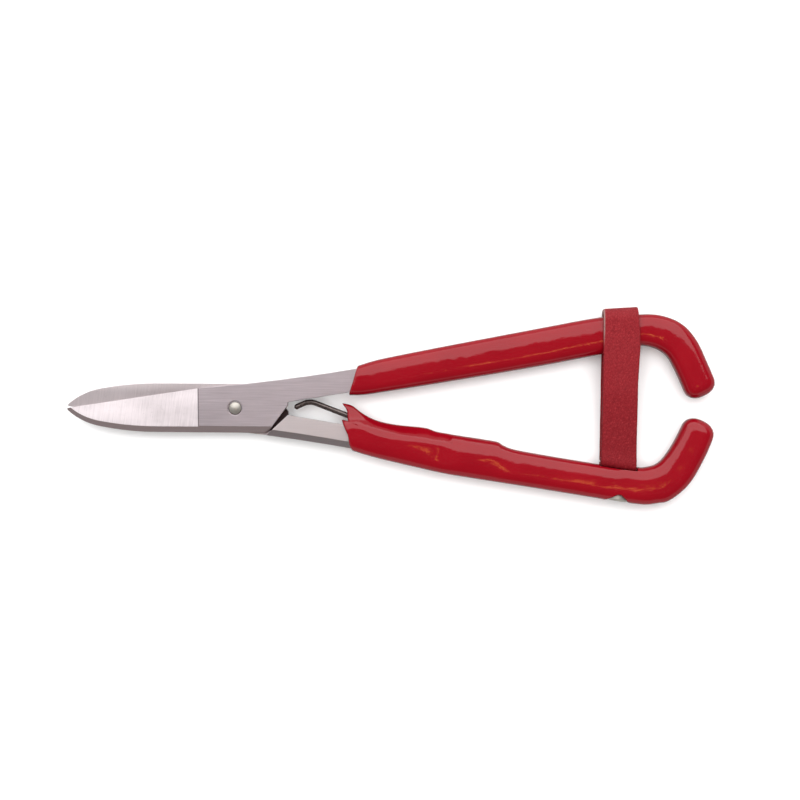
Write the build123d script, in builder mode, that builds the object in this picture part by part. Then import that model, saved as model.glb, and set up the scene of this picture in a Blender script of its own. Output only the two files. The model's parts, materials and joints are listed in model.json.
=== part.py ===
from build123d import *

import os
from math import cos, radians, sin

# Straight-blade bench shears: two flipped forged halves on one rivet, dipped grips, a wire
# return spring and a leather keeper loop that holds the handles shut.
#
# Row frame: +X from the blade tips to the handles, +Y from the lower handle to the upper
# one, +Z up off the surface that the shears lie on. The origin is the bottom centre of the
# box. Each half is drawn in its own frame: the pivot at the origin, its blade along -X, its
# handle along +X and +Y, the lap face at Z = 0 and its outer face towards +Z.

# ---- driving dimensions, millimetres and degrees -------------------------------------
pivot_x, pivot_y = -43.4, -1.1      # the pivot axis in the row frame
rest_opening = 2.2                  # the keeper loop lets the handles stand this far apart

strap_thick = 1.2                   # leather
strap_inside = 4.2                  # middle plane to the inner face of each strand
lap_z = strap_inside + strap_thick  # the plane where the two halves slide on each other

plate = 2.6                         # thickness of one half at the lap
lap_gap = 0.04                      # running gap between the two lap faces
neck_half = 2.5                     # half thickness of the handle where it leaves the lap
bar_width, bar_half = 6.2, 2.3      # handle bar inside the grip: across, half thickness

blade_tip, edge_tip = (-46.7, 0.1), (-46.7, 0.6)
edge_heel = (-10.3, 5.6)            # where the cutting edge meets the lap
spine_thick, edge_thick = 2.35, 1.6 # ground face: at the back of the blade and at the heel
back_chamfer = 1.8                  # broad chamfer along the backs
neck_bevel, neck_bevel_deep = 1.75, 1.2  # bevel along the neck's outer edge, on its lap side

rivet_shank_r, rivet_head_r = 1.5, 1.8
rivet_seat_r, rivet_seat_deep = 2.1, 0.35
rivet_dome = 0.45
running_fit = 0.03

grip_half = 3.9                     # half thickness of a dipped grip
grip_round = 2.6                    # rounding along the grip's edges
grip_end_round = 3.4

hook_radius, knee_radius = 13.4, 60.0

wire_r = 0.75
arm_hinge = (39.3, 4.15)            # where the spring arm leaves the bar
arm_crown, arm_tip = (20.4, -2.6), (16.8, -0.7)
crown_radius = 4.5
hinge_gap = 0.15                    # from the arm's ball end to the foot's end
foot_knee, foot_heel = (60.4, 7.9), (73.9, 9.8)
foot_hole = (73.3, 14.2)            # end of the blind hole that holds the foot's hook
slot_half = 0.95                    # half width of the slit that the arm moves in
slot_down, slot_up = 4.5, 26.0      # how far the slit lets the arm turn each way

strap_width = 9.6
strap_x, strap_rivet_x = 106.1, 107.2  # middle of the strap and its rivet, from the pivot
strap_top = 28.55                   # top of the loop above the pivot
strap_base_half = 3.0               # half width of the loop at its riveted base
strap_rivet_r, strap_rivet_head_r, strap_rivet_head = 0.9, 3.2, 1.4
burr_r, burr_thick, burr_dome = 1.7, 0.5, 0.5
rivet_opening_r = 3.6               # round hole in the grip over the rivet's head
touch = 0.02                        # gap between faces that rest on each other

# Middle line of each handle bar, in its half's frame: start, knee, hook corner, end.
upper_path = [(35.5, 7.7), (60.0, 11.8), (121.1, 22.1), (128.6, 5.8)]
lower_path = [(35.5, 7.7), (60.0, 12.0), (120.8, 20.4), (128.4, 3.5)]

# Grip outlines, in the half's frame: outer side from the mouth to the hook's leg, the two
# corners of the leg's end, and the inner side back to the mouth.
upper_outer = [(34.3, 11.4), (41.0, 13.2), (60.0, 16.8), (98.0, 23.4), (110.0, 24.6),
               (117.5, 24.5), (124.0, 22.0), (128.2, 17.4), (131.2, 10.7)]
upper_end = [(134.5, 3.4), (126.0, 0.0)]
upper_inner = [(122.4, 8.6), (119.2, 13.8), (113.0, 16.0), (104.0, 14.2), (85.0, 10.7),
               (51.4, 5.45), (39.0, 3.65), (31.7, 3.2)]
lower_outer = [(32.6, 10.9), (40.0, 13.2), (57.0, 16.4), (81.0, 19.6), (104.0, 22.8),
               (113.4, 23.9), (120.0, 22.9), (126.0, 18.6), (130.6, 10.4)]
lower_end = [(134.1, 2.3), (125.4, -2.2)]
lower_inner = [(121.7, 6.7), (118.0, 11.9), (112.0, 13.7), (97.5, 12.4), (80.8, 10.0),
               (73.0, 7.6), (62.0, 6.1), (53.0, 4.1), (44.0, 3.5), (36.0, 3.0), (31.2, 2.6)]
# The skirt of the lower grip that runs out around the spring arm.
skirt = [(29.6, -2.35), (32.8, -1.4), (35.2, 0.4), (38.0, 1.9), (42.0, 3.1), (46.0, 5.5),
         (32.0, 5.5), (29.8, 2.35), (31.6, 0.6)]
skirt_half = 2.3


def half_frame(turn, side):
    """A half's own frame in the row frame: turned about the pivot, side +1 front, -1 rear."""
    along = (cos(radians(turn)), sin(radians(turn)), 0)
    return Plane(origin=(pivot_x, pivot_y, lap_z), x_dir=along, z_dir=(0, 0, side))


front = half_frame(rest_opening / 2, 1)
rear = half_frame(-rest_opening / 2, -1)


def across(frame, point, direction):
    """A plane at a point of the half's frame, with its normal along an in-plane direction."""
    start = frame.from_local_coords((*point, 0))
    ahead = frame.from_local_coords((point[0] + direction[0], point[1] + direction[1], 0))
    return Plane(origin=start, x_dir=frame.z_dir, z_dir=ahead - start)


def back_of_blade():
    """The back of the blade and plate, from the plate's corner to the tip, then past it."""
    straight = Line((7.8, -6.95), (-22.0, -6.35))
    belly = TangentArc((-22.0, -6.35), (-38.0, -4.45), tangent=straight % 1)
    nose = TangentArc((-38.0, -4.45), blade_tip, tangent=belly % 1)
    return straight, nose


def steel_half(frame, path, name, shank_fit, let_in):
    """One forged half: blade, lap plate, shoulder and handle bar in one piece."""
    neck_top, neck_low, shoulder_low = (34.2, 10.6), (32.3, 4.15), (14.65, 1.55)
    with BuildPart() as half:
        with BuildSketch(frame.offset(-neck_half)):
            with BuildLine():
                back_of_blade()
                Polyline(blade_tip, edge_tip, edge_heel)
                ThreePointArc(edge_heel, (13.0, 7.75), neck_top)
                Polyline(neck_top, neck_low, shoulder_low, (14.5, 0.5), (13.4, -1.0), (10.35, -4.95))
                ThreePointArc((10.35, -4.95), (9.35, -6.25), (7.8, -6.95))
            make_face()
        extrude(amount=neck_half + plate)
        under = faces().sort_by(Axis(frame.origin, frame.z_dir))[0]
        bow = under.edges().sort_by(Axis(frame.origin, -frame.y_dir))[0]
        chamfer(bow, length=neck_bevel, length2=neck_bevel_deep, reference=under)
        # the lap: everything in front of the shoulder is one plate thick
        with BuildSketch(frame.offset(lap_gap / 2)):
            with BuildLine():
                Polyline((8.9, 7.2), (6.9, 9.2), (-50.0, 9.2), (-50.0, -9.0), (16.0, -9.0), (16.0, 0.2),
                         close=True)
            make_face()
        extrude(amount=-neck_half - lap_gap, mode=Mode.SUBTRACT)
        with BuildSketch(frame.offset(-bar_half)):
            with BuildLine():
                middle = FilletPolyline(*path, radius=[knee_radius, hook_radius])
            SlotArc(middle.wire(), bar_width)
        extrude(amount=2 * bar_half)
        # the blade's ground outer face, from its back down to the cutting edge
        step = Plane(frame.from_local_coords((edge_heel[0], 0, 0)), x_dir=frame.y_dir, z_dir=frame.x_dir)
        with BuildSketch(step):
            with BuildLine():
                Polyline((-9.0, spine_thick + 0.3), (-4.4, spine_thick), (5.5, edge_thick),
                         (9.0, edge_thick), (9.0, 5.0), (-9.0, 5.0), close=True)
            make_face()
        extrude(amount=-40.0, mode=Mode.SUBTRACT)
        # broad chamfer along the back of the blade and the plate
        with BuildLine(frame.offset(plate)) as back:
            straight, nose = back_of_blade()
            Line(nose @ 1, nose @ 1 + 4.0 * (nose % 1))
            Line(straight @ 0, straight @ 0 - 4.0 * (straight % 0))
        with BuildSketch(Plane(straight @ 0, x_dir=frame.z_dir, z_dir=straight % 0)):
            with BuildLine():
                Polyline((-back_chamfer, 0), (0, back_chamfer), (1.5, back_chamfer), (1.5, -1.5),
                         (-back_chamfer, -1.5), close=True)
            make_face()
        sweep(path=back.wire(), transition=Transition.ROUND, mode=Mode.SUBTRACT)
        # the rivet's bore, and the shallow seat for its head
        with BuildSketch(frame.offset(-lap_gap)):
            Circle(rivet_shank_r + shank_fit)
        extrude(amount=plate + 2 * lap_gap, mode=Mode.SUBTRACT)
        with BuildSketch(frame.offset(plate - rivet_seat_deep)):
            Circle(rivet_seat_r)
        extrude(amount=1.0, mode=Mode.SUBTRACT)
        for piece in let_in:
            add(piece.part, mode=Mode.SUBTRACT)
    half.part.label = name
    return half


# ---- the return spring: a foot let into the lower bar, and its free arm ---------------
foot_dir = Vector(*foot_knee) - Vector(*arm_hinge)
foot_start = Vector(*arm_hinge) + (wire_r + hinge_gap) * foot_dir.normalized()
with BuildPart() as spring_foot:
    with BuildLine(rear) as foot_line:
        FilletPolyline((foot_start.X, foot_start.Y), foot_knee, foot_heel, foot_hole, radius=[40.0, 1.6])
    with BuildSketch(Plane(foot_line.wire() @ 0, z_dir=foot_line.wire() % 0)):
        Circle(wire_r)
    sweep(path=foot_line.wire())
spring_foot.part.label = "spring_foot"

with BuildPart() as spring_arm:
    with BuildLine(rear) as arm_line:
        FilletPolyline(arm_hinge, arm_crown, arm_tip, radius=crown_radius)
    with BuildSketch(Plane(arm_line.wire() @ 0, z_dir=arm_line.wire() % 0)):
        Circle(wire_r)
    sweep(path=arm_line.wire())
    with Locations(arm_line.wire() @ 0, arm_line.wire() @ 1):
        Sphere(wire_r)
spring_arm.part.label = "spring_arm"

# ---- the keeper loop's rivet: head outside, burr inside the loop ----------------------
bar_slope = (Vector(*lower_path[2]) - Vector(*lower_path[1])).normalized()
bar_out = Vector(-bar_slope.Y, bar_slope.X)
bar_middle, rivet_middle = (Vector(*lower_path[1]) + bar_slope * ((x - lower_path[1][0]) / bar_slope.X)
                            for x in (strap_x, strap_rivet_x))
strap_line, rivet_line = (across(rear, (middle.X, middle.Y), (bar_out.X, bar_out.Y))
                          for middle in (bar_middle, rivet_middle))
burr_foot = -bar_width / 2 - 2 * strap_thick - 2 * touch

with BuildPart() as strap_rivet:
    with BuildSketch(rivet_line.offset(burr_foot - burr_thick - touch)):
        Circle(strap_rivet_r)
    extrude(amount=bar_width / 2 - burr_foot + burr_thick + touch)
    with BuildSketch(rivet_line.offset(bar_width / 2)):
        Circle(strap_rivet_head_r)
    extrude(amount=strap_rivet_head)
    chamfer(faces().sort_by(Axis(rivet_line.origin, rivet_line.z_dir))[-1].edges(), length=0.5, length2=0.9)
    with BuildSketch(rivet_line.offset(burr_foot - burr_thick - touch)):
        Circle(strap_rivet_r + 0.4)
    extrude(amount=-burr_dome, taper=35)
strap_rivet.part.label = "strap_rivet"

with BuildPart() as strap_burr:
    with BuildSketch(rivet_line.offset(burr_foot)):
        Circle(burr_r)
        Circle(strap_rivet_r, mode=Mode.SUBTRACT)
    extrude(amount=-burr_thick)
strap_burr.part.label = "strap_burr"

# ---- the two forged halves ------------------------------------------------------------
front_half = steel_half(front, upper_path, "front_half", running_fit, [])
rear_half = steel_half(rear, lower_path, "rear_half", 0.0, [spring_foot, strap_rivet])

# ---- pivot rivet: a shank headed over in a seat on each side --------------------------
with BuildPart() as pivot_rivet:
    seat = plate - rivet_seat_deep
    crown = plate + rivet_dome
    with BuildSketch(Plane((pivot_x, pivot_y, lap_z), x_dir=(1, 0, 0), z_dir=(0, -1, 0))):
        with BuildLine():
            Line((0, crown), (0, -crown))
            TangentArc((0, -crown), (rivet_head_r, -seat - 0.1), tangent=(1, 0))
            Polyline((rivet_head_r, -seat - 0.1), (rivet_head_r, -seat), (rivet_shank_r, -seat),
                     (rivet_shank_r, seat + running_fit), (rivet_head_r, seat + running_fit),
                     (rivet_head_r, seat + 0.1))
            TangentArc((0, crown), (rivet_head_r, seat + 0.1), tangent=(1, 0))
        make_face()
    revolve(axis=Axis((pivot_x, pivot_y, 0), (0, 0, 1)))
pivot_rivet.part.label = "pivot_rivet"

# ---- keeper loop: a leather strip riveted to the lower bar, round both handles --------
base_depth = bar_width / 2 + touch
base = rear.from_local_coords((bar_middle.X - base_depth * bar_out.X,
                               bar_middle.Y - base_depth * bar_out.Y, 0))
base_slope = (rivet_line.z_dir.X, rivet_line.z_dir.Y)


def loop_section(along, inset, layers):
    """The loop's outline at a distance along it from its middle, drawn inset from the outside."""
    low = base.Y - along * base_slope[0] / base_slope[1] + layers * strap_thick
    top = pivot_y + strap_top - inset
    wide, narrow = strap_inside + strap_thick - inset, strap_base_half - inset
    flare_low, flare_high = base.Y + 5.5, base.Y + 22.0
    soft, fold, corner = 15.0, 3.4 - inset, 1.6 - inset
    with BuildSketch(Plane((base.X + along, 0, lap_z), x_dir=(0, 1, 0), z_dir=(1, 0, 0))) as section:
        with BuildLine():
            FilletPolyline((top, wide), (flare_high, wide), (flare_low, narrow), (low, narrow),
                           (low, -narrow), (flare_low, -narrow), (flare_high, -wide), (top, -wide),
                           radius=[fold, soft, soft, corner, corner, soft, soft, fold], close=True)
        make_face()
    return section.sketch


with BuildPart() as strap:
    ends = (-strap_width / 2, strap_width / 2)
    loft(sections=[loop_section(end, 0, 0) for end in ends], ruled=True)
    loft(sections=[loop_section(end, strap_thick, 2) for end in ends], ruled=True, mode=Mode.SUBTRACT)
    with BuildSketch(rivet_line.offset(burr_foot - 1.0)):
        Circle(strap_rivet_r + 0.05)
    extrude(amount=5.0, mode=Mode.SUBTRACT)
strap.part.label = "strap"


# ---- dipped grips ---------------------------------------------------------------------
def dipped_grip(frame, outer, end, inner, steel):
    """A soft plastic coat over a handle bar, open at the mouth, with rounded long edges."""
    with BuildPart() as grip:
        with BuildSketch(frame.offset(-grip_half)):
            with BuildLine():
                Spline(*outer)
                FilletPolyline(outer[-1], *end, inner[0], radius=grip_end_round)
                Spline(*inner)
                Line(inner[-1], outer[0])
            make_face()
        extrude(amount=2 * grip_half)
        for face in faces().filter_by(Axis.Z):
            fillet(face.edges().sort_by(Axis.X)[1:], grip_round)
        add(steel.part, mode=Mode.SUBTRACT)
    return grip.part


with BuildPart() as upper_grip:
    add(dipped_grip(front, upper_outer, upper_end, upper_inner, front_half))
upper_grip.part.label = "upper_grip"

with BuildPart() as lower_grip:
    add(dipped_grip(rear, lower_outer, lower_end, lower_inner, rear_half))
    # skirt round the spring, slit along the middle so that the arm can move
    with BuildSketch(rear.offset(-skirt_half)):
        with BuildLine():
            Polyline(*skirt, close=True)
        make_face()
    extrude(amount=2 * skirt_half)
    fillet(edges().filter_by(Axis.Z).group_by(Axis.X)[0], 0.6)
    hinge = Vector(*arm_hinge)
    arm_ray = (Vector(*arm_crown) - hinge).normalized()
    with BuildSketch(rear.offset(-slot_half)):
        with Locations(arm_hinge):
            Circle(slot_half + 0.1)
        for turn in (-slot_down, slot_up):
            with Locations(hinge + 16.0 * arm_ray.rotate(Axis.Z, turn)):
                Circle(slot_half)
        make_hull()
    extrude(amount=2 * slot_half, mode=Mode.SUBTRACT)
    # pocket for the loop's riveted base, and the round hole over the rivet's head
    with BuildSketch(strap_line.offset(-bar_width / 2)):
        Rectangle(2 * strap_base_half + 0.3, strap_width + 1.4)
    extrude(amount=-6.0, mode=Mode.SUBTRACT)
    with BuildSketch(rivet_line.offset(bar_width / 2)):
        Circle(rivet_opening_r)
    extrude(amount=4.0, mode=Mode.SUBTRACT)
    for piece in (rear_half, spring_foot, strap_rivet):
        add(piece.part, mode=Mode.SUBTRACT)
lower_grip.part.label = "lower_grip"

# ---- files ----------------------------------------------------------------------------
os.makedirs("parts", exist_ok=True)
for piece in (front_half, rear_half, pivot_rivet, upper_grip, lower_grip, spring_foot, spring_arm,
              strap, strap_rivet, strap_burr):
    export_step(piece.part, f"parts/{piece.part.label}.step")
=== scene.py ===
import json
import math

import bmesh
import bpy
import numpy as np
from mathutils import Matrix, Vector, noise


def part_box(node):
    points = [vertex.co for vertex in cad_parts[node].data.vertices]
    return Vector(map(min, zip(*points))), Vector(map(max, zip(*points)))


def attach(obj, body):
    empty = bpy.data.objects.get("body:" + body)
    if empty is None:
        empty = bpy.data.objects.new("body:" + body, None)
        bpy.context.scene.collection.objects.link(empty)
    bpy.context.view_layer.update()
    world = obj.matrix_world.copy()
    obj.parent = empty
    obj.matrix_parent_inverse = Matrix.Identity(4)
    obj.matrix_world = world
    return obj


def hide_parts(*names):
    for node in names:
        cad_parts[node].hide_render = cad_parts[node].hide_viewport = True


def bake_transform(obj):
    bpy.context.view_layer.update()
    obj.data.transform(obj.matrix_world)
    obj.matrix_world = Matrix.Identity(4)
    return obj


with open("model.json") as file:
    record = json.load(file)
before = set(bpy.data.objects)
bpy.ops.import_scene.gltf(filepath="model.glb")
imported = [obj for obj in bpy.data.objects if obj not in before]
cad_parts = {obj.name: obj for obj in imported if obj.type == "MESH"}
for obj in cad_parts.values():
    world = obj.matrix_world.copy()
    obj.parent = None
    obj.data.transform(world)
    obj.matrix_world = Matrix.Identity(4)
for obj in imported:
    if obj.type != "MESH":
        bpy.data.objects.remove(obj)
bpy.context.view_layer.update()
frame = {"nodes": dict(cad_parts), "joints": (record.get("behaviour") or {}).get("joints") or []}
joints = {joint["name"]: joint for joint in frame["joints"]}
pivot = np.array(joints["pivot"]["pos_m"]) * 1000  # the pieces are drawn in millimetres
halfTurn = {"front": 1.1, "rear": -1.1}  # degrees that each half stands open
bar = {"halfThick": 2.5, "halfWide": 3.1, "rise": 8.4, "run": 60.8}  # rise over run: its slope at the loop


# Shader graphs: a socket in a wrapper, so that sums of values read as sums

class Wire:
    def __init__(self, graph, socket):
        self.graph, self.socket = graph, socket

    def math(self, operation, *values):
        return self.graph.add("ShaderNodeMath", {"operation": operation}, dict(enumerate(values)))

    def __add__(self, other):
        return self.math("ADD", self, other)

    def __sub__(self, other):
        return self.math("SUBTRACT", self, other)

    def __rsub__(self, other):
        return self.math("SUBTRACT", other, self)

    def __mul__(self, other):
        return self.math("MULTIPLY", self, other)

    __radd__, __rmul__ = __add__, __mul__


class NodeMaker:
    def feed(self, socket, value):
        if isinstance(value, Wire):
            self.tree.links.new(value.socket, socket)
        else:
            socket.default_value = value

    def add(self, kind, settings=None, inputs=None, out=0):
        made = self.tree.nodes.new(kind)
        for key, value in (settings or {}).items():
            setattr(made, key, value)
        for key, value in (inputs or {}).items():
            self.feed(made.inputs[key], value)
        return Wire(self, made.outputs[out])


class Graph(NodeMaker):
    def __init__(self, name):
        self.material = bpy.data.materials.new(name)
        self.material.use_nodes = True
        self.tree = self.material.node_tree
        self.tree.nodes.clear()
        self.shader = self.tree.nodes.new("ShaderNodeBsdfPrincipled")
        out = self.tree.nodes.new("ShaderNodeOutputMaterial")
        self.tree.links.new(self.shader.outputs[0], out.inputs["Surface"])
        self.place = self.add("ShaderNodeTexCoord", out="Object")

    def turned(self, vector, angle):
        inputs = {"Vector": vector, "Angle": angle}
        return self.add("ShaderNodeVectorRotate", {"rotation_type": "Z_AXIS"}, inputs)

    def axis(self, vector, name):
        return self.add("ShaderNodeSeparateXYZ", None, {0: vector}, name)

    def noise(self, scale, stretch=(1, 1, 1), detail=3.0, rough=0.5, turn=0.0):
        place = self.turned(self.place, turn) if turn else self.place
        mapped = self.add("ShaderNodeMapping", None, {"Vector": place, "Scale": stretch})
        return self.add("ShaderNodeTexNoise", None,
                        {"Vector": mapped, "Scale": scale, "Detail": detail, "Roughness": rough})

    def cells(self, scale, feature="F1", stretch=(1, 1, 1)):
        mapped = self.add("ShaderNodeMapping", None, {"Vector": self.place, "Scale": stretch})
        inputs = {"Vector": mapped, "Scale": scale}
        return self.add("ShaderNodeTexVoronoi", {"feature": feature}, inputs, "Distance")

    def step(self, value, low, high):
        settings = {"interpolation_type": "SMOOTHSTEP"}
        return self.add("ShaderNodeMapRange", settings, {0: value, 1: low, 2: high})

    def mix(self, factor, first, second):
        return self.add("ShaderNodeMix", {"data_type": "RGBA"}, {0: factor, 6: first, 7: second}, 2)

    def mixValue(self, factor, first, second):
        return self.add("ShaderNodeMix", {"data_type": "FLOAT"}, {0: factor, 2: first, 3: second})

    def bevel(self, radius):
        return self.add("ShaderNodeBevel", {"samples": 6}, {"Radius": radius})

    def bump(self, height, strength, distance, below=None):
        inputs = {"Strength": strength, "Distance": distance, "Height": height}
        if below is not None:
            inputs["Normal"] = below
        return self.add("ShaderNodeBump", None, inputs)

    def finish(self, **sockets):
        for name, value in sockets.items():
            self.feed(self.shader.inputs[name.replace("_", " ")], value)
        return self.material


def rgb(red, green, blue):
    return (red, green, blue, 1.0)


# Curves and meshes

def smoothLine(points, steps=12):
    p = np.array(points, float)
    p = np.vstack([2 * p[0] - p[1], p, 2 * p[-1] - p[-2]])
    t = np.linspace(0, 1, steps, endpoint=False)[:, None]
    spans = []
    for a, b, c, d in zip(p[:-3], p[1:-2], p[2:-1], p[3:]):
        square, cube = 2 * a - 5 * b + 4 * c - d, 3 * b - a - 3 * c + d
        spans.append(0.5 * (2 * b + (c - a) * t + square * t**2 + cube * t**3))
    return np.vstack([*spans, p[-2:-1]])


def roundedLine(points, radii, steps=24):
    line = [np.array(points[0], float)]
    for before, corner, after, radius in zip(points, points[1:], points[2:], radii):
        before, corner, after = (np.array(q, float) for q in (before, corner, after))
        u, v = (before - corner), (after - corner)
        u, v = u / np.linalg.norm(u), v / np.linalg.norm(v)
        half = math.acos(float(u @ v)) / 2
        middle = corner + (u + v) / np.linalg.norm(u + v) * radius / math.sin(half)
        start = corner + u * radius / math.tan(half) - middle
        turn = math.copysign(math.pi - 2 * half, start[0] * -u[1] + start[1] * u[0])
        for angle in np.linspace(0, turn, steps):
            c, s = math.cos(angle), math.sin(angle)
            line.append(middle + (start[0] * c - start[1] * s, start[0] * s + start[1] * c))
    return np.array([*line, np.array(points[-1], float)])


def lengths(line):
    return np.concatenate([[0], np.cumsum(np.linalg.norm(np.diff(line, axis=0), axis=1))])


def atLength(line, where):
    run = lengths(line)
    return np.stack([np.interp(where, run, line[:, k]) for k in range(line.shape[1])], 1)


def toRow(side, points):
    turn, flip = math.radians(halfTurn[side]), 1 if side == "front" else -1
    x, y, z = points[..., 0], flip * points[..., 1], points[..., 2]
    c, s = math.cos(turn), math.sin(turn)
    return np.stack([x * c - y * s, x * s + y * c, z], -1) + pivot


def linked(name, data):
    made = bpy.data.objects.new(name, data)
    bpy.context.scene.collection.objects.link(made)
    return made


def heal(mesh):
    work = bmesh.new()
    work.from_mesh(mesh)
    bmesh.ops.remove_doubles(work, verts=work.verts, dist=1e-7)
    bmesh.ops.recalc_face_normals(work, faces=work.faces)
    work.to_mesh(mesh)
    work.free()


# A closed tube through equal rows of points
def tubeFrom(name, rows, material, body=None):
    count, columns = rows.shape[:2]
    faces = []
    for i in range(count - 1):
        for j in range(columns):
            k = (j + 1) % columns
            faces.append((i * columns + j, i * columns + k, (i + 1) * columns + k, (i + 1) * columns + j))
    faces += [tuple(range(columns)), tuple((count - 1) * columns + k for k in range(columns))]
    mesh = bpy.data.meshes.new(name)
    mesh.from_pydata((rows.reshape(-1, 3) * 0.001).tolist(), [], faces)
    heal(mesh)
    mesh.materials.append(material)
    mesh.shade_smooth()
    piece = linked(name, mesh)
    if body:
        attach(piece, body)
    return piece


def wobble(points, scale, seed):
    return np.array([noise.noise(Vector(p) * scale + Vector((seed, seed * 1.7, seed * 2.3))) for p in points])


# Dipped grips. Each half's own frame: x along the shears from the pivot, y towards the handle's outside.
# Outlines run from the mouth to the hook's end.
gripDip = {
    "halfThick": 3.9, "square": 3.0, "around": 112, "alongStep": 0.55, "tangent": 0.3,
    "endRound": 3.7, "endSquare": 2.3, "endZone": 2.4, "endRows": 14, "endPower": 1.8, "endGap": 0.01,
    "mouthRows": 14, "skirtRows": 30, "skirtThick": 1.75, "skirtRise": 0.35, "skirtFrom": 33.0,
    "skirtRun": 8.0, "skirtEnd": 60.0, "fadeFrom": 2.6, "fadeRun": 4.2, "bumpAcross": 0.32,
    "wall": 0.75, "lipRound": 0.22, "insideEvery": 3, "barEdge": 3.0, "barFade": 0.8, "press": 0.1,
    "thinnest": 0.9, "waver": 0.022, "broadWaver": 0.16, "broadShare": 2.2, "fineWaver": 0.4,
}

# A bump is its x, its length, its height, and its share of the way from the outer edge to the inner
upperGrip = {
    "side": "front", "body": "upper", "node": "upper_grip", "seed": 3.0, "patchEnd": 39.0, "skirt": False,
    "path": [(33.0, 7.25), (60.0, 11.8), (121.1, 22.1), (130.1, 1.75)], "radii": [60.0, 13.4],
    "outer": [(34.3, 11.45), (38.0, 12.55), (43.2, 13.7), (60.0, 16.8), (84.9, 21.2), (100.1, 23.8),
              (110.0, 24.55), (117.5, 24.5), (123.9, 22.1), (128.2, 17.35), (131.3, 10.6), (134.2, 3.6)],
    "inner": [(31.7, 3.2), (35.0, 3.2), (39.0, 3.65), (51.4, 5.45), (68.1, 8.0), (85.0, 10.7), (97.3, 12.9),
              (104.0, 14.2), (112.9, 16.0), (119.1, 13.8), (122.4, 8.6), (125.9, 0.2)],
    "mouth": [(34.3, 11.45), (33.7, 9.6), (33.0, 7.2), (32.2, 4.9), (31.7, 3.2)],
    "bumps": [(66.0, 5.0, 0.05, 0.45), (78.0, 4.0, 0.06, 0.5), (92.0, 7.0, 0.03, 0.4)],
}

lowerGrip = {
    "side": "rear", "body": "lower", "node": "lower_grip", "seed": 8.0, "patchEnd": 46.0, "skirt": True,
    "path": [(33.0, 7.25), (60.0, 12.0), (120.8, 20.4), (129.75, 0.05)], "radii": [60.0, 13.4],
    "outer": [(32.87, 11.03), (36.7, 12.1), (43.4, 13.65), (57.0, 16.4), (63.7, 17.4), (81.0, 19.65),
              (99.1, 22.1), (104.0, 22.8), (113.4, 23.8), (117.6, 23.4), (121.3, 22.4), (126.4, 17.9),
              (130.6, 10.4), (133.9, 2.0)],
    "inner": [(29.61, -2.18), (31.2, -1.9), (32.7, -1.35), (35.0, 0.35), (37.7, 1.8), (40.8, 2.8),
              (45.2, 3.5), (49.9, 3.85), (53.3, 4.2), (55.7, 5.0), (60.1, 5.7), (68.5, 6.8), (72.9, 7.45),
              (74.6, 8.4), (77.0, 9.3), (80.8, 10.0), (89.2, 11.25), (97.5, 12.4), (105.7, 13.5),
              (108.0, 13.15), (111.7, 13.45), (114.2, 13.4), (118.0, 11.9), (121.7, 6.7), (125.6, -1.6)],
    "mouth": [(32.87, 11.03), (32.1, 9.4), (31.6, 6.6), (30.9, 5.2), (30.35, 3.9), (29.78, 2.45),
              (30.6, 2.7), (31.6, 3.4), (31.35, 1.5), (31.2, -0.3), (30.55, -1.1), (29.61, -2.18)],
    "bumps": [(46.5, 7.0, 0.62, 0.60), (67.0, 6.5, 0.52, 0.58), (57.3, 2.2, -0.30, 0.50),
              (76.5, 2.4, -0.20, 0.7), (88.0, 8.0, 0.08, 0.4)],
}


def reach(points, normals, outline):
    starts, ends = outline[:-1], outline[1:]
    span = ends - starts
    found = []
    for point, normal in zip(points, normals):
        cross = span[:, 0] * normal[1] - span[:, 1] * normal[0]
        gap = starts - point
        with np.errstate(divide="ignore", invalid="ignore"):
            far = (gap[:, 1] * span[:, 0] - gap[:, 0] * span[:, 1]) / cross
            share = (gap[:, 1] * normal[0] - gap[:, 0] * normal[1]) / cross
        hits = far[(share >= -1e-6) & (share <= 1 + 1e-6) & (far > 0)]
        found.append(hits.min() if len(hits) else np.nan)
    found = np.array(found)
    good = ~np.isnan(found)
    return np.interp(np.arange(len(found)), np.flatnonzero(good), found[good])


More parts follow.
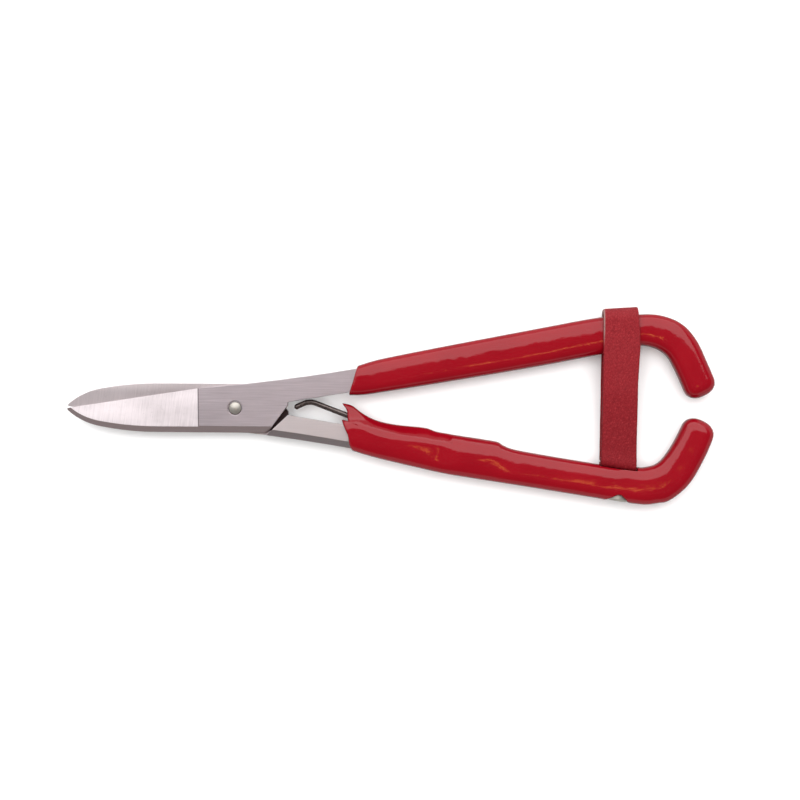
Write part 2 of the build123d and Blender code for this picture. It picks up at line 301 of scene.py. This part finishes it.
def gripSurface(grip):
    d = gripDip
    path = roundedLine(grip["path"], grip["radii"])
    run = lengths(path)
    start = np.interp(grip["patchEnd"], path[:, 0], run)
    count = int((run[-1] - start) / d["alongStep"])
    end = run[-1] - d["endGap"]
    closing = d["endZone"] * (1 - np.linspace(0, 1, d["endRows"])[1:]) ** d["endPower"]
    where = np.concatenate([np.linspace(start, end - d["endZone"], count), end - closing])
    centre = atLength(path, where)
    ahead = atLength(path, np.minimum(where + d["tangent"], run[-1])) - atLength(path, where - d["tangent"])
    normal = np.stack([-ahead[:, 1], ahead[:, 0]], 1) / np.linalg.norm(ahead, axis=1)[:, None]
    outer, inner = smoothLine(grip["outer"]), smoothLine(grip["inner"])
    out, into = reach(centre, normal, outer), reach(centre, -normal, inner)
    turn = np.linspace(0, 2 * math.pi, d["around"], endpoint=False)
    f = 0.5 - 0.5 * np.cos(turn)
    bulge = np.sign(np.sin(turn)) * (1 - np.abs(2 * f - 1) ** d["square"]) ** (1 / d["square"])
    left = np.clip((run[-1] - where) / d["endRound"], 0, 1)
    cap = (1 - (1 - left) ** d["endSquare"]) ** (1 / d["endSquare"])
    middle = centre + normal * ((out - into) / 2)[:, None]
    wide = (out + into) / 2 * cap
    flat = middle[:, None] + normal[:, None] * (wide[:, None] * (1 - 2 * f))[..., None]
    # the stretch from the mouth to the first full section, filled between its four edges
    first = flat[0]
    shares = np.linspace(0, 1, d["skirtRows"] if grip["skirt"] else d["mouthRows"])[:-1]
    edgeOut = smoothEdge(outer, grip["mouth"][0], first[0])
    edgeIn = smoothEdge(inner, grip["mouth"][-1], first[np.argmax(f)])
    lip = np.array(grip["mouth"], float)
    lip = atLength(lip, f * lengths(lip)[-1])
    patch = []
    for s in shares:
        a, b = atShare(edgeOut, s), atShare(edgeIn, s)
        corner = ((1 - f)[:, None] * ((1 - s) * lip[0] + s * first[0])
                  + f[:, None] * ((1 - s) * lip[np.argmax(f)] + s * first[np.argmax(f)]))
        patch.append((1 - f)[:, None] * a + f[:, None] * b + (1 - s) * lip + s * first - corner)
    flat = np.vstack([patch, flat])
    cap = np.concatenate([np.ones(len(shares)), cap])
    return flat, cap, bulge, f, path, len(shares)


def smoothEdge(outline, start, end):
    near = [int(np.argmin(np.linalg.norm(outline - np.array(q), axis=1))) for q in (start, end)]
    return np.vstack([start, outline[near[0] + 1:near[1]], end])


def atShare(line, share):
    return atLength(line, np.array([share * lengths(line)[-1]]))[0]


def pathGap(flat, path):
    shape = flat.shape[:2]
    points = flat.reshape(-1, 2)
    best = np.full(len(points), 1e9)
    sign = np.zeros(len(points))
    for a, b in zip(path[:-1], path[1:]):
        span = b - a
        share = np.clip(((points - a) @ span) / max(span @ span, 1e-12), 0, 1)
        gap = points - (a + share[:, None] * span)
        size = np.linalg.norm(gap, axis=1)
        side = span[0] * gap[:, 1] - span[1] * gap[:, 0]
        closer = size < best
        best[closer], sign[closer] = size[closer], side[closer]
    return (best * -np.sign(sign)).reshape(shape)


def gripThickness(grip, flat, bulge, f, away):
    d = gripDip
    thick = d["halfThick"] * np.ones(flat.shape[:2])
    if grip["skirt"]:
        along = np.clip((flat[..., 0] - d["skirtFrom"]) / d["skirtRun"], 0, 1)
        low = d["skirtThick"] + d["skirtRise"] * along
        fade = np.clip((away - d["fadeFrom"]) / d["fadeRun"], 0, 1)
        thick -= (d["halfThick"] - low) * fade**2 * (3 - 2 * fade) * (flat[..., 0] < d["skirtEnd"])
    for x, wide, high, across in grip["bumps"]:
        spread = ((flat[..., 0] - x) / wide) ** 2 + ((f - across) / d["bumpAcross"]) ** 2
        thick += high * np.exp(-spread) * np.clip(bulge, 0, 1)
    return thick


# Inside of the mouth: a wall that lies on the bar and stands off the spring
def mouthWall(flat, thick, bulge, f, away, patchRows):
    d = gripDip
    inset = d["wall"] / np.linalg.norm(flat[:, 0] - flat[:, int(np.argmax(f))], axis=1)
    half = slice(0, len(f) // 2 + 1)
    inside = []
    for i in range(0, patchRows - d["insideEvery"], d["insideEvery"]):
        g = inset[i] + (1 - 2 * inset[i]) * f
        line = np.stack([np.interp(g, f[half], flat[i, half, k]) for k in (0, 1)], 1)
        off = np.clip((away[i] - d["barEdge"]) / d["barFade"], 0, 1)
        clear = np.maximum(thick[i] - d["wall"], d["thinnest"])
        wall = (1 - off) * (bar["halfThick"] - d["press"]) + off * clear
        inside.append(np.concatenate([line, (wall * bulge)[:, None]], 1))
    return np.array(inside)


def makeGrip(grip, material):
    d = gripDip
    flat, cap, bulge, f, path, patchRows = gripSurface(grip)
    away = pathGap(flat, path)
    thick = gripThickness(grip, flat, bulge, f, away)
    outside = np.concatenate([flat, (thick * bulge * cap[:, None])[..., None]], 2)
    inside = mouthWall(flat, thick, bulge, f, away, patchRows)
    lip = (outside[0] + inside[0]) / 2
    lip[:, 0] -= d["lipRound"]
    skin = outside.reshape(-1, 3)
    push = wobble(skin, d["broadWaver"], grip["seed"]) * d["broadShare"]
    push = push + wobble(skin, d["fineWaver"], grip["seed"] + 5)
    outside[..., 2] += bulge * push.reshape(outside.shape[:2]) * d["waver"]
    rows = toRow(grip["side"], np.concatenate([inside[::-1], lip[None], outside]))
    piece = tubeFrom(grip["node"].replace("_grip", "Dip"), rows, material, grip["body"])
    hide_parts(grip["node"])
    return piece


# Return spring: one bent wire, swept by Geometry Nodes with rounded ends
returnSpring = {
    "centre": [(16.3, -0.5), (20.4, -2.6), (39.3, 4.15), (60.4, 7.9), (73.9, 9.8), (73.3, 14.2)],
    "radii": [4.5, 30.0, 40.0, 1.6], "wireRadius": 0.75, "endRound": 0.75, "tipScale": 0.12, "sides": 28,
    "spacing": 0.25, "hinge": (39.3, 4.15), "flexLength": 3.0,
}


class Tree(NodeMaker):
    def __init__(self, name, sizes):
        self.tree = bpy.data.node_groups.new(name, "GeometryNodeTree")
        face = self.tree.interface
        face.new_socket("Geometry", in_out="INPUT", socket_type="NodeSocketGeometry")
        self.keys = {}
        for label, kind in sizes.items():
            self.keys[label] = face.new_socket(label, in_out="INPUT", socket_type=kind).identifier
        face.new_socket("Geometry", in_out="OUTPUT", socket_type="NodeSocketGeometry")
        self.source = self.tree.nodes.new("NodeGroupInput")
        self.sink = self.tree.nodes.new("NodeGroupOutput")

    def size(self, label):
        return Wire(self, self.source.outputs[label])

    def apply(self, holder, values):
        modifier = holder.modifiers.new(self.tree.name, "NODES")
        modifier.node_group = self.tree
        for label, value in values.items():
            modifier[self.keys[label]] = value
        graph = bpy.context.evaluated_depsgraph_get()
        mesh = bpy.data.meshes.new_from_object(holder.evaluated_get(graph), depsgraph=graph)
        holder.modifiers.remove(modifier)
        return mesh


def wireTree():
    t = Tree("bentWire", {"Wire Radius": "NodeSocketFloat", "End Round": "NodeSocketFloat",
                          "Spacing": "NodeSocketFloat", "Sides": "NodeSocketInt",
                          "Finish": "NodeSocketMaterial"})
    line = t.add("GeometryNodeResampleCurve", {"mode": "LENGTH"},
                 {"Curve": t.size("Geometry"), "Length": t.size("Spacing")})
    run = t.add("GeometryNodeSplineParameter", out=1)
    total = t.add("GeometryNodeSplineLength")
    near = run.math("MINIMUM", run, total - run)
    share = near.math("MINIMUM", near.math("DIVIDE", near, t.size("End Round")), 1.0)
    left = 1.0 - share
    scale = share.math("MAXIMUM", share.math("SQRT", 1.0 - left * left), returnSpring["tipScale"])
    ring = t.add("GeometryNodeCurvePrimitiveCircle", None,
                 {"Resolution": t.size("Sides"), "Radius": t.size("Wire Radius")})
    tube = t.add("GeometryNodeCurveToMesh", None,
                 {"Curve": line, "Profile Curve": ring, "Fill Caps": True, "Scale": scale})
    smooth = t.add("GeometryNodeSetShadeSmooth", None, {"Geometry": tube})
    real = t.add("GeometryNodeRealizeInstances", None, {"Geometry": smooth})
    done = t.add("GeometryNodeSetMaterial", None, {"Geometry": real, "Material": t.size("Finish")})
    t.feed(t.sink.inputs[0], done)
    return t


def makeSpring(material):
    d = returnSpring
    flat = roundedLine(d["centre"], d["radii"])
    points = toRow("rear", np.c_[flat, np.zeros(len(flat))]) * 0.001
    curve = bpy.data.curves.new("springLine", "CURVE")
    curve.dimensions = "3D"
    spline = curve.splines.new("POLY")
    spline.points.add(len(points) - 1)
    spline.points.foreach_set("co", np.c_[points, np.ones(len(points))].ravel())
    holder = linked("springLine", curve)
    values = {"Wire Radius": d["wireRadius"] * 0.001, "End Round": d["endRound"] * 0.001,
              "Spacing": d["spacing"] * 0.001, "Sides": d["sides"], "Finish": material}
    mesh = wireTree().apply(holder, values)
    bpy.data.objects.remove(holder)
    heal(mesh)
    piece = linked("returnSpring", mesh)
    hinge = np.array([*d["hinge"], 0.0])
    ahead = np.array([d["centre"][3][0] - hinge[0], d["centre"][3][1] - hinge[1], 0.0])
    ahead *= d["flexLength"] / 2 / np.linalg.norm(ahead)
    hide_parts("spring_foot", "spring_arm")
    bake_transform(piece)


# Keeper loop: one strip, both ends riveted under the lower bar
keeper = {
    "thick": 1.2, "baseHalf": 2.4, "topHalf": 4.8, "flareLow": 4.6, "flareHigh": 21.0, "fold": 3.0,
    "turn": 1.3, "topGap": 0.6, "soft": 14.0, "tail": 1.3, "plyGaps": (0.05, 0.08), "step": 0.45,
    "widths": [(0.0, 9.95), (9.0, 9.7), (24.0, 9.75), (34.0, 10.2), (40.0, 9.9), (46.5, 9.35)],
    "leftEdges": [(0.0, -5.0), (9.0, -4.95), (24.0, -4.9), (34.0, -4.75), (46.5, -4.75)],
    "rearShift": 0.45, "shiftRun": 20.0, "lean": 0.065, "flexLow": 1.0, "flexHigh": 7.0,
    "ripple": 0.10, "rippleScale": (0.13, 0.10, 0.2), "ripplePlace": (0.0, 0.0, 7.0), "rippleRun": 12.0,
    "flatPoints": 15, "edgePoints": 9, "edgePower": 0.6,
    # mark: the left cut edge shows pale high on the loop only, fading out down it as painted shade
    "markFrom": 29.0, "markRun": 11.0, "markRange": (0.2, 0.9),
}


# Columns: share across the width, offset from there, height off the strip's middle, mark of the cut edge
def stripSection():
    d = keeper
    half, power = d["thick"] / 2, d["edgePower"]
    across = np.linspace(0, 1, d["flatPoints"])
    corner = np.linspace(math.pi / 2, -math.pi / 2, d["edgePoints"])[1:-1]
    out = [half * abs(math.cos(a)) ** power for a in corner]
    up = [half * math.copysign(abs(math.sin(a)) ** power, math.sin(a)) for a in corner]
    section = [(t, 0.0, half, 0.0) for t in across]
    section += [(1.0, x, y, 1.0) for x, y in zip(out, up)]
    section += [(t, 0.0, -half, 0.0) for t in across[::-1]]
    section += [(0.0, -x, y, 1.0) for x, y in zip(out[::-1], up[::-1])]
    return np.array(section)


# The strip's middle seen from the side: height above its base, then distance from the lap
def keeperLine(tall):
    d = keeper
    low, wide, thick = d["baseHalf"], d["topHalf"], d["thick"]
    first, second = 0.5 * thick + d["plyGaps"][0], 1.5 * thick + d["plyGaps"][1]
    corners = [(first, -low), (first, low), (d["flareLow"], low), (d["flareHigh"], wide), (tall, wide),
               (tall, -wide), (d["flareHigh"], -wide), (d["flareLow"], -low), (second, -low),
               (second, d["tail"])]
    radii = [d["turn"], d["soft"], d["soft"], d["fold"], d["fold"], d["soft"], d["soft"], d["turn"] * 0.5]
    line = roundedLine(corners, radii)
    total = lengths(line)[-1]
    return atLength(line, np.linspace(0, total, int(total / d["step"])))


def makeKeeper(material):
    d = keeper
    high = np.array(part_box("strap")[1]) * 1000
    base = np.array(joints["loop_swing"]["pos_m"]) * 1000
    lapZ = pivot[2]
    slope = -math.tan(math.atan2(bar["rise"], bar["run"]) + math.radians(halfTurn["front"]))
    tall = high[1] - base[1] - d["topGap"]
    line = keeperLine(tall)
    ahead = np.gradient(line, axis=0)
    ahead /= np.linalg.norm(ahead, axis=1)[:, None]
    normal = np.stack([ahead[:, 1], -ahead[:, 0]], 1)
    edge = stripSection()
    plain, worn = d["markRange"]
    rows, rims = [], []
    for (v, z), n in zip(line, normal):
        behind = 1 - (1 + z / d["topHalf"]) / 2
        wide = np.interp(v, *np.array(d["widths"]).T)
        left = np.interp(v, *np.array(d["leftEdges"]).T)
        left += behind * d["rearShift"] * min(v / d["shiftRun"], 1)
        x = left + edge[:, 0] * (wide - d["thick"]) + edge[:, 1] + d["thick"] / 2
        lift = slope * x * (1 - v / tall) + v + n[0] * edge[:, 2] + d["lean"] * x * (v / tall) ** 3
        rows.append(np.stack([base[0] + x, base[1] + lift, lapZ + z + n[1] * edge[:, 2]], 1))
        # the pale cut edge is the leather's own colour; on the left edge it fades out towards the base as
        # painted shade
        mark = np.clip((v - d["markFrom"]) / d["markRun"], plain, worn)
        rims.append(np.where(edge[:, 0] < 0.5, mark, plain) * edge[:, 3])
    rows = np.array(rows)
    free = np.clip((rows[..., 1] - base[1]) / d["rippleRun"], 0, 1)
    spots = rows.reshape(-1, 3) * d["rippleScale"] + d["ripplePlace"]
    ripple = [noise.noise(Vector(spot)) for spot in spots]
    rows[..., 2] += np.array(ripple).reshape(free.shape) * d["ripple"] * free
    piece = tubeFrom("keeperLoop", rows, material)
    rim = piece.data.attributes.new("cutEdge", "FLOAT", "POINT")
    rim.data.foreach_set("value", np.concatenate(rims))
    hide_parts("strap")
    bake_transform(piece)


# Steel of the two forged halves. Ranges are in each half's own frame, in millimetres: x from the pivot
# towards the hook, y towards the handle's outside, z outward from the lap.
forged = {
    "face": (rgb(0.43, 0.375, 0.400), rgb(0.62, 0.545, 0.580)),
    "neck": rgb(0.82, 0.75, 0.745), "neckShare": 0.6,
    "ground": (rgb(0.52, 0.465, 0.48), rgb(0.82, 0.745, 0.765)),
    # gap: painted shade, near black, for the lap face deep in the gap by the shoulder
    "lap": (rgb(0.31, 0.265, 0.278), rgb(0.74, 0.665, 0.68)), "gap": rgb(0.055, 0.036, 0.036),
    # steep and gentle: darker tones painted on the chamfers as shade, standing in for their dim reflection
    "steep": (rgb(0.30, 0.235, 0.235), rgb(0.42, 0.335, 0.335)),
    "gentle": (rgb(0.28, 0.235, 0.24), rgb(0.42, 0.355, 0.36)),
    "stepShade": rgb(0.09, 0.07, 0.07), "stepShare": 0.7,
    "flat": (0.86, 0.95), "gentleFrom": (0.76, 0.81), "ahead": (-10.15, -10.45), "outer": (0.85, 1.25),
    "stepBack": (-10.35, -10.28), "stepFront": (-9.9, -10.2), "lapFace": (0.25, 0.10), "lapAhead": (9.0, 7.0),
    "gapDeep": (-0.6, -0.3), "gapStart": (5.5, 7.0), "gapSide": (6.2, 5.8), "onNeck": (-1.0, -2.0),
    # hollow: painted shading of a hollow grind across the flat lap face
    "hollow": (3.2, 6.6), "tipward": (-12.0, -34.0), "edgeRadius": 0.00012,
}


def forgedSteel(name, side):
    d = forged
    g = Graph(name)
    up = 1 if side == "front" else -1
    moved = g.add("ShaderNodeVectorMath", {"operation": "SUBTRACT"}, {0: g.place, 1: tuple(pivot * 0.001)})
    local = g.turned(moved, -math.radians(halfTurn[side]))
    x = g.axis(local, "X") * 1000.0
    y, z = (g.axis(local, letter) * (1000.0 * up) for letter in "YZ")
    facing = g.axis(g.add("ShaderNodeNewGeometry", out="True Normal"), "Z")
    facing = facing.math("ABSOLUTE", facing)
    ahead = g.step(x, *d["ahead"])
    outer = g.step(z, *d["outer"])
    lapFace = g.step(z, *d["lapFace"])
    # painted shade: the lap face deep in the gap between the plates is darkened where the shoulder's shadow
    # falls
    shadeInGap = lapFace * g.step(z, *d["gapDeep"]) * g.step(x, *d["gapStart"]) * g.step(y, *d["gapSide"])
    long = g.noise(1.0, (90, 3600, 900), 3, 0.6)
    broad = g.noise(1.0, (70, 160, 160), 3, 0.5)
    crossways = g.noise(1.0, (3400, 130, 300), 4, 0.7, turn=0.12)
    blots = g.step(g.noise(700.0, detail=4, rough=0.7), 0.60, 0.72)
    pits = g.noise(2600.0, detail=2)
    face = g.mix(g.step(long * 0.65 + broad * 0.35, 0.18, 0.82) - blots * 0.12, *d["face"])
    ground = g.mix(g.step(crossways * 0.45 + broad * 0.55, 0.20, 0.72) - blots * 0.3, *d["ground"])
    # painted shade: the flat lap face lighter towards the blade's edges, as a hollow grind would shade; it
    # also lightens towards the tip
    hollow = g.step(y.math("ABSOLUTE", y), *d["hollow"])
    tipward = g.step(x, *d["tipward"])
    lapTone = g.mix(crossways * 0.5 + hollow * 0.55 + tipward * 0.35 - blots * 0.15, *d["lap"])
    streak = long * 0.8 + broad * 0.2
    # painted shade: chamfers and sloped faces darkened by their slope
    gentle = g.step(facing, *d["gentleFrom"])
    chamferShade = g.mix(gentle, g.mix(streak, *d["steep"]), g.mix(streak, *d["gentle"]))
    stepLine = outer * g.step(x, *d["stepBack"]) * g.step(x, *d["stepFront"])
    tone = g.mix(g.step(z, *d["onNeck"]) * d["neckShare"], face, d["neck"])
    tone = g.mix(outer * ahead, tone, ground)
    tone = g.mix(stepLine * d["stepShare"], tone, d["stepShade"])
    tone = g.mix(lapFace * g.step(x, *d["lapAhead"]), tone, lapTone)
    tone = g.mix(g.step(facing, *d["flat"]), chamferShade, tone)
    # painted shadow in the gap by the shoulder
    tone = g.mix(shadeInGap, tone, d["gap"])
    lines = g.mixValue(ahead, long, crossways)
    rough = 0.30 + 0.16 * lines + 0.05 * pits
    normal = g.bump(lines, 0.35, 0.00004, g.bevel(d["edgeRadius"]))
    return g.finish(Base_Color=tone, Metallic=1.0, Roughness=rough, Normal=normal)


riveted = {
    "pivot": (rgb(0.50, 0.47, 0.43), rgb(0.62, 0.58, 0.53)),
    "strap": (rgb(0.42, 0.39, 0.345), rgb(0.78, 0.73, 0.66)),
    # rim: a dark ring painted near the head's edge as shade in the gap around the dome
    "rim": rgb(0.10, 0.08, 0.07), "rimStart": 1.58, "rimEnd": 1.8, "edgeRadius": 0.0002,
}


def rivetSteel(name, finish, centre=None):
    d = riveted
    g = Graph(name)
    mottle = g.noise(900.0, detail=4, rough=0.6)
    dents = g.cells(1300.0)
    tone = g.mix(mottle, *d[finish])
    # painted shade: a dark ring near the edge of the domed head
    if centre is not None:
        moved = g.add("ShaderNodeVectorMath", {"operation": "SUBTRACT"}, {0: g.place, 1: tuple(centre)})
        flat = g.add("ShaderNodeVectorMath", {"operation": "MULTIPLY"}, {0: moved, 1: (1, 1, 0)})
        away = g.add("ShaderNodeVectorMath", {"operation": "LENGTH"}, {0: flat}, "Value")
        tone = g.mix(g.step(away * 1000.0, d["rimStart"], d["rimEnd"]), tone, d["rim"])
    normal = g.bump(mottle * 0.7 + dents * 0.3, 0.35, 0.00012, g.bevel(d["edgeRadius"]))
    return g.finish(Base_Color=tone, Metallic=1.0, Roughness=0.42 + 0.2 * mottle, Normal=normal)


# Spring wire, dipped plastic and leather
wire = {"dark": rgb(0.020, 0.014, 0.013), "bright": rgb(0.24, 0.195, 0.185), "lay": -0.35, "metal": 0.85}


def springWire():
    d = wire
    g = Graph("springWire")
    scale = g.noise(1800.0, detail=4, rough=0.65)
    drawn = g.noise(1.0, (400, 2500, 2500), 3, 0.6, turn=d["lay"])
    tone = g.mix(scale * 0.6 + drawn * 0.4, d["dark"], d["bright"])
    normal = g.bump(drawn, 0.25, 0.00004)
    return g.finish(Base_Color=tone, Metallic=d["metal"], Roughness=0.16 + 0.2 * scale, Normal=normal)


dipped = {
    "deep": rgb(0.190, 0.0012, 0.0060), "lit": rgb(0.245, 0.0020, 0.0075), "worn": rgb(0.26, 0.005, 0.011),
    "lay": {"front": math.radians(8.0), "rear": math.radians(-9.0)}, "gloss": 0.38,
}


def dippedPlastic(name, side):
    d = dipped
    g = Graph(name)
    cloud = g.noise(95.0, detail=3, rough=0.5)
    fine = g.noise(900.0, detail=3, rough=0.55)
    pores = g.cells(1500.0)
    scuffs = g.noise(1.0, (260, 1500, 900), 4, 0.7, turn=d["lay"][side])
    tone = g.mix(cloud, d["deep"], d["lit"])
    scuffed = g.step(scuffs, 0.62, 0.78)
    tone = g.mix(scuffed * 0.3, tone, d["worn"])
    rough = 0.075 + 0.05 * cloud + 0.06 * scuffed
    below = g.bump(cloud * 0.7 + g.noise(240.0, detail=2) * 0.3, 0.5, 0.0003)
    skin = g.bump(fine * 0.6 + pores * 0.4, 0.16, 0.00012, below)
    return g.finish(Base_Color=tone, Roughness=rough, Normal=skin, Specular_IOR_Level=d["gloss"])


tanned = {
    # high and low: lit and shaded tones of the strap, painted as if lit from above
    "high": rgb(0.215, 0.008, 0.013), "low": rgb(0.165, 0.005, 0.009), "crease": rgb(0.085, 0.003, 0.006),
    "fleck": rgb(0.40, 0.040, 0.045), "cut": (rgb(0.26, 0.15, 0.14), rgb(0.17, 0.012, 0.016)),
    "fade": (-14.0, 24.0), "cutFade": (10.0, -8.0), "gloss": 0.22,
}


def tannedLeather():
    d = tanned
    g = Graph("tannedLeather")
    y = g.axis(g.place, "Y") * 1000.0
    pebble = g.cells(2900.0)
    furrow = g.cells(1500.0, "DISTANCE_TO_EDGE", (1.0, 0.7, 1.0))
    drift = g.noise(1.0, (900, 3000, 900), 4, 0.65, turn=-0.8)
    patch = g.noise(130.0, detail=3)
    # painted light and shade: the strap lighter towards the top, darker towards the bottom
    high = g.step(y, *d["fade"])
    tone = g.mix(high * 0.75 + patch * 0.25, d["low"], d["high"])
    lines = g.step(furrow, 0.16, 0.02)
    tone = g.mix(lines * 0.3 + g.step(drift, 0.5, 0.75) * 0.4, tone, d["crease"])
    flecks = g.noise(1.0, (1300, 3800, 1300), 3, 0.6, turn=-0.9)
    tone = g.mix(g.step(flecks, 0.52, 0.70) * 0.4, tone, d["fleck"])
    edge = g.add("ShaderNodeAttribute", {"attribute_name": "cutEdge"}, None, "Fac")
    fibre = g.noise(1500.0, detail=3)
    # painted shade: the pale cut edge turns to the strap's red towards the bottom
    pale = g.mix(g.step(y, *d["cutFade"]) * 0.8 + fibre * 0.2, *d["cut"])
    tone = g.mix(g.step(edge, 0.35, 0.9), tone, pale)
    rough = 0.42 + 0.2 * patch + 0.2 * lines
    grain = g.bump(furrow * 0.4 + pebble * 0.2 + drift * 0.4, 1.0, 0.00035)
    return g.finish(Base_Color=tone, Roughness=rough, Normal=grain, Specular_IOR_Level=d["gloss"])


# The loop's pocket and the rivet's opening, cut out of the lower coat
seat = {"pocket": (6.2, 10.3), "depth": 6.0, "openingRadius": 3.6, "openingDepth": 4.0, "rivetShift": 1.11,
        "play": 0.02, "segments": 64}


def cutter(name, size, along, place, depth):
    mesh = bpy.data.meshes.new(name)
    build = bmesh.new()
    if name == "opening":
        bmesh.ops.create_cone(build, cap_ends=True, segments=seat["segments"], radius1=size, radius2=size,
                              depth=depth)
    else:
        bmesh.ops.create_cube(build, size=1.0)
        bmesh.ops.scale(build, vec=(size[0], size[1], depth), verts=build.verts)
    build.to_mesh(mesh)
    build.free()
    placed = Vector(along).to_track_quat("Z", "X").to_matrix().to_4x4()
    placed.translation = Vector(place)
    mesh.transform(placed)
    mesh.transform(Matrix.Scale(0.001, 4))
    return linked(name, mesh)


def seatTools():
    d = seat
    base = np.array(joints["loop_swing"]["pos_m"]) * 1000
    lean = math.atan2(bar["rise"], bar["run"])
    outward = toRow("rear", np.array([[-math.sin(lean), math.cos(lean), 0.0]]))[0] - pivot
    onward = np.array([-outward[1], outward[0], 0.0])
    pocket = base - outward * (d["depth"] / 2)
    reached = 2 * bar["halfWide"] + d["play"] + d["openingDepth"] / 2
    opening = base + onward * d["rivetShift"] + outward * reached
    return [cutter("pocket", d["pocket"], outward, pocket, d["depth"]),
            cutter("opening", d["openingRadius"], outward, opening, d["openingDepth"])]


def cutOut(piece, tools):
    for tool in tools:
        modifier = piece.modifiers.new(tool.name, "BOOLEAN")
        modifier.operation, modifier.object, modifier.solver = "DIFFERENCE", tool, "EXACT"
    graph = bpy.context.evaluated_depsgraph_get()
    mesh = bpy.data.meshes.new_from_object(piece.evaluated_get(graph), depsgraph=graph)
    piece.modifiers.clear()
    piece.data = mesh
    for tool in tools:
        bpy.data.objects.remove(tool)


# Finishes on the parts, then the grips, the spring and the loop
def paint(node, material):
    mesh = frame["nodes"][node].data
    mesh.materials.clear()
    mesh.materials.append(material)


paint("front_half", forgedSteel("forgedFront", "front"))
paint("rear_half", forgedSteel("forgedRear", "rear"))
paint("pivot_rivet", rivetSteel("headedRivet", "pivot", pivot * 0.001))
strapSteel = rivetSteel("keeperRivet", "strap")
paint("strap_rivet", strapSteel)
paint("strap_burr", strapSteel)
print("steel painted")

makeGrip(upperGrip, dippedPlastic("dippedUpper", "front"))
lowerDip = makeGrip(lowerGrip, dippedPlastic("dippedLower", "rear"))
cutOut(lowerDip, seatTools())
print("grips dipped")
makeSpring(springWire())
print("spring bent")
makeKeeper(tannedLeather())
print("loop riveted")

# Floor, light and camera
room = {
    "floorSize": 4.0, "floorColour": rgb(0.92, 0.92, 0.92), "floorInGloss": rgb(0.36, 0.36, 0.36),
    "floorRough": 0.95, "floorGloss": 0.1, "sky": 0.12, "horizon": 0.75, "haze": (0.28, 0.50),
}


def makeFloor():
    mesh = bpy.data.meshes.new("floor")
    r = room["floorSize"] / 2
    mesh.from_pydata([(-r, -r, 0), (r, -r, 0), (r, r, 0), (-r, r, 0)], [], [(0, 1, 2, 3)])
    floor = linked("floor", mesh)
    g = Graph("paleFloor")
    mirrored = g.add("ShaderNodeLightPath", out="Is Glossy Ray")  # the floor is dimmer in the object's gloss
    tone = g.mix(mirrored, room["floorColour"], room["floorInGloss"])
    gloss = {"Roughness": room["floorRough"], "Specular_IOR_Level": room["floorGloss"]}
    mesh.materials.append(g.finish(Base_Color=tone, **gloss))


lamps = [
    {"name": "softBox", "place": (-0.1, 0.79, 0.92), "size": (2.4, 1.65), "power": 26.0},
    {"name": "topFill", "place": (0.0, 0.0, 1.6), "size": (1.7, 1.4), "power": 27.0, "glossy": False},
    {"name": "warmStrip", "place": (0.175, -0.165, 1.1), "size": (0.17, 0.026), "power": 0.17,
     "tint": (1.0, 0.40, 0.09)},
]


def makeLight(name, place, size, power, tint=(1.0, 1.0, 1.0), glossy=True):
    lamp = bpy.data.lights.new(name, "AREA")
    lamp.shape, lamp.size, lamp.size_y, lamp.energy = "RECTANGLE", size[0], size[1], power
    lamp.color = tint
    holder = linked(name, lamp)
    holder.location = place
    holder.rotation_euler = (-Vector(place)).to_track_quat("-Z", "Y").to_euler()
    holder.visible_glossy = glossy


view = {"width": 0.22206, "span": 24.0, "middle": (0.00225, 0.00148), "level": 0.0065, "roll": 0.4}


def makeCamera():
    camera = bpy.data.cameras.new("camera")
    camera.sensor_width = 36.0
    camera.angle = math.radians(view["span"])
    holder = linked("camera", camera)
    high = view["level"] + view["width"] / 2 / math.tan(camera.angle / 2)
    holder.location = (*view["middle"], high)
    holder.rotation_euler = (0, 0, math.radians(view["roll"]))
    camera.clip_start = 0.01
    bpy.context.scene.camera = holder


def makeWorld():
    world = bpy.data.worlds.new("studio")
    world.use_nodes = True
    tree = world.node_tree
    place = tree.nodes.new("ShaderNodeTexCoord")
    parts = tree.nodes.new("ShaderNodeSeparateXYZ")
    height = tree.nodes.new("ShaderNodeMapRange")
    height.interpolation_type = "SMOOTHSTEP"
    for key, value in zip((1, 2, 3, 4), (*room["haze"], room["horizon"], room["sky"])):
        height.inputs[key].default_value = value
    tree.links.new(place.outputs["Generated"], parts.inputs[0])
    tree.links.new(parts.outputs["Z"], height.inputs[0])
    tree.links.new(height.outputs[0], tree.nodes["Background"].inputs["Strength"])
    tree.nodes["Background"].inputs["Color"].default_value = rgb(1, 1, 1)
    bpy.context.scene.world = world


makeFloor()
makeCamera()
makeWorld()
for lamp in lamps:
    makeLight(**lamp)
bpy.context.scene.view_settings.view_transform = "Standard"
print("stage ready")
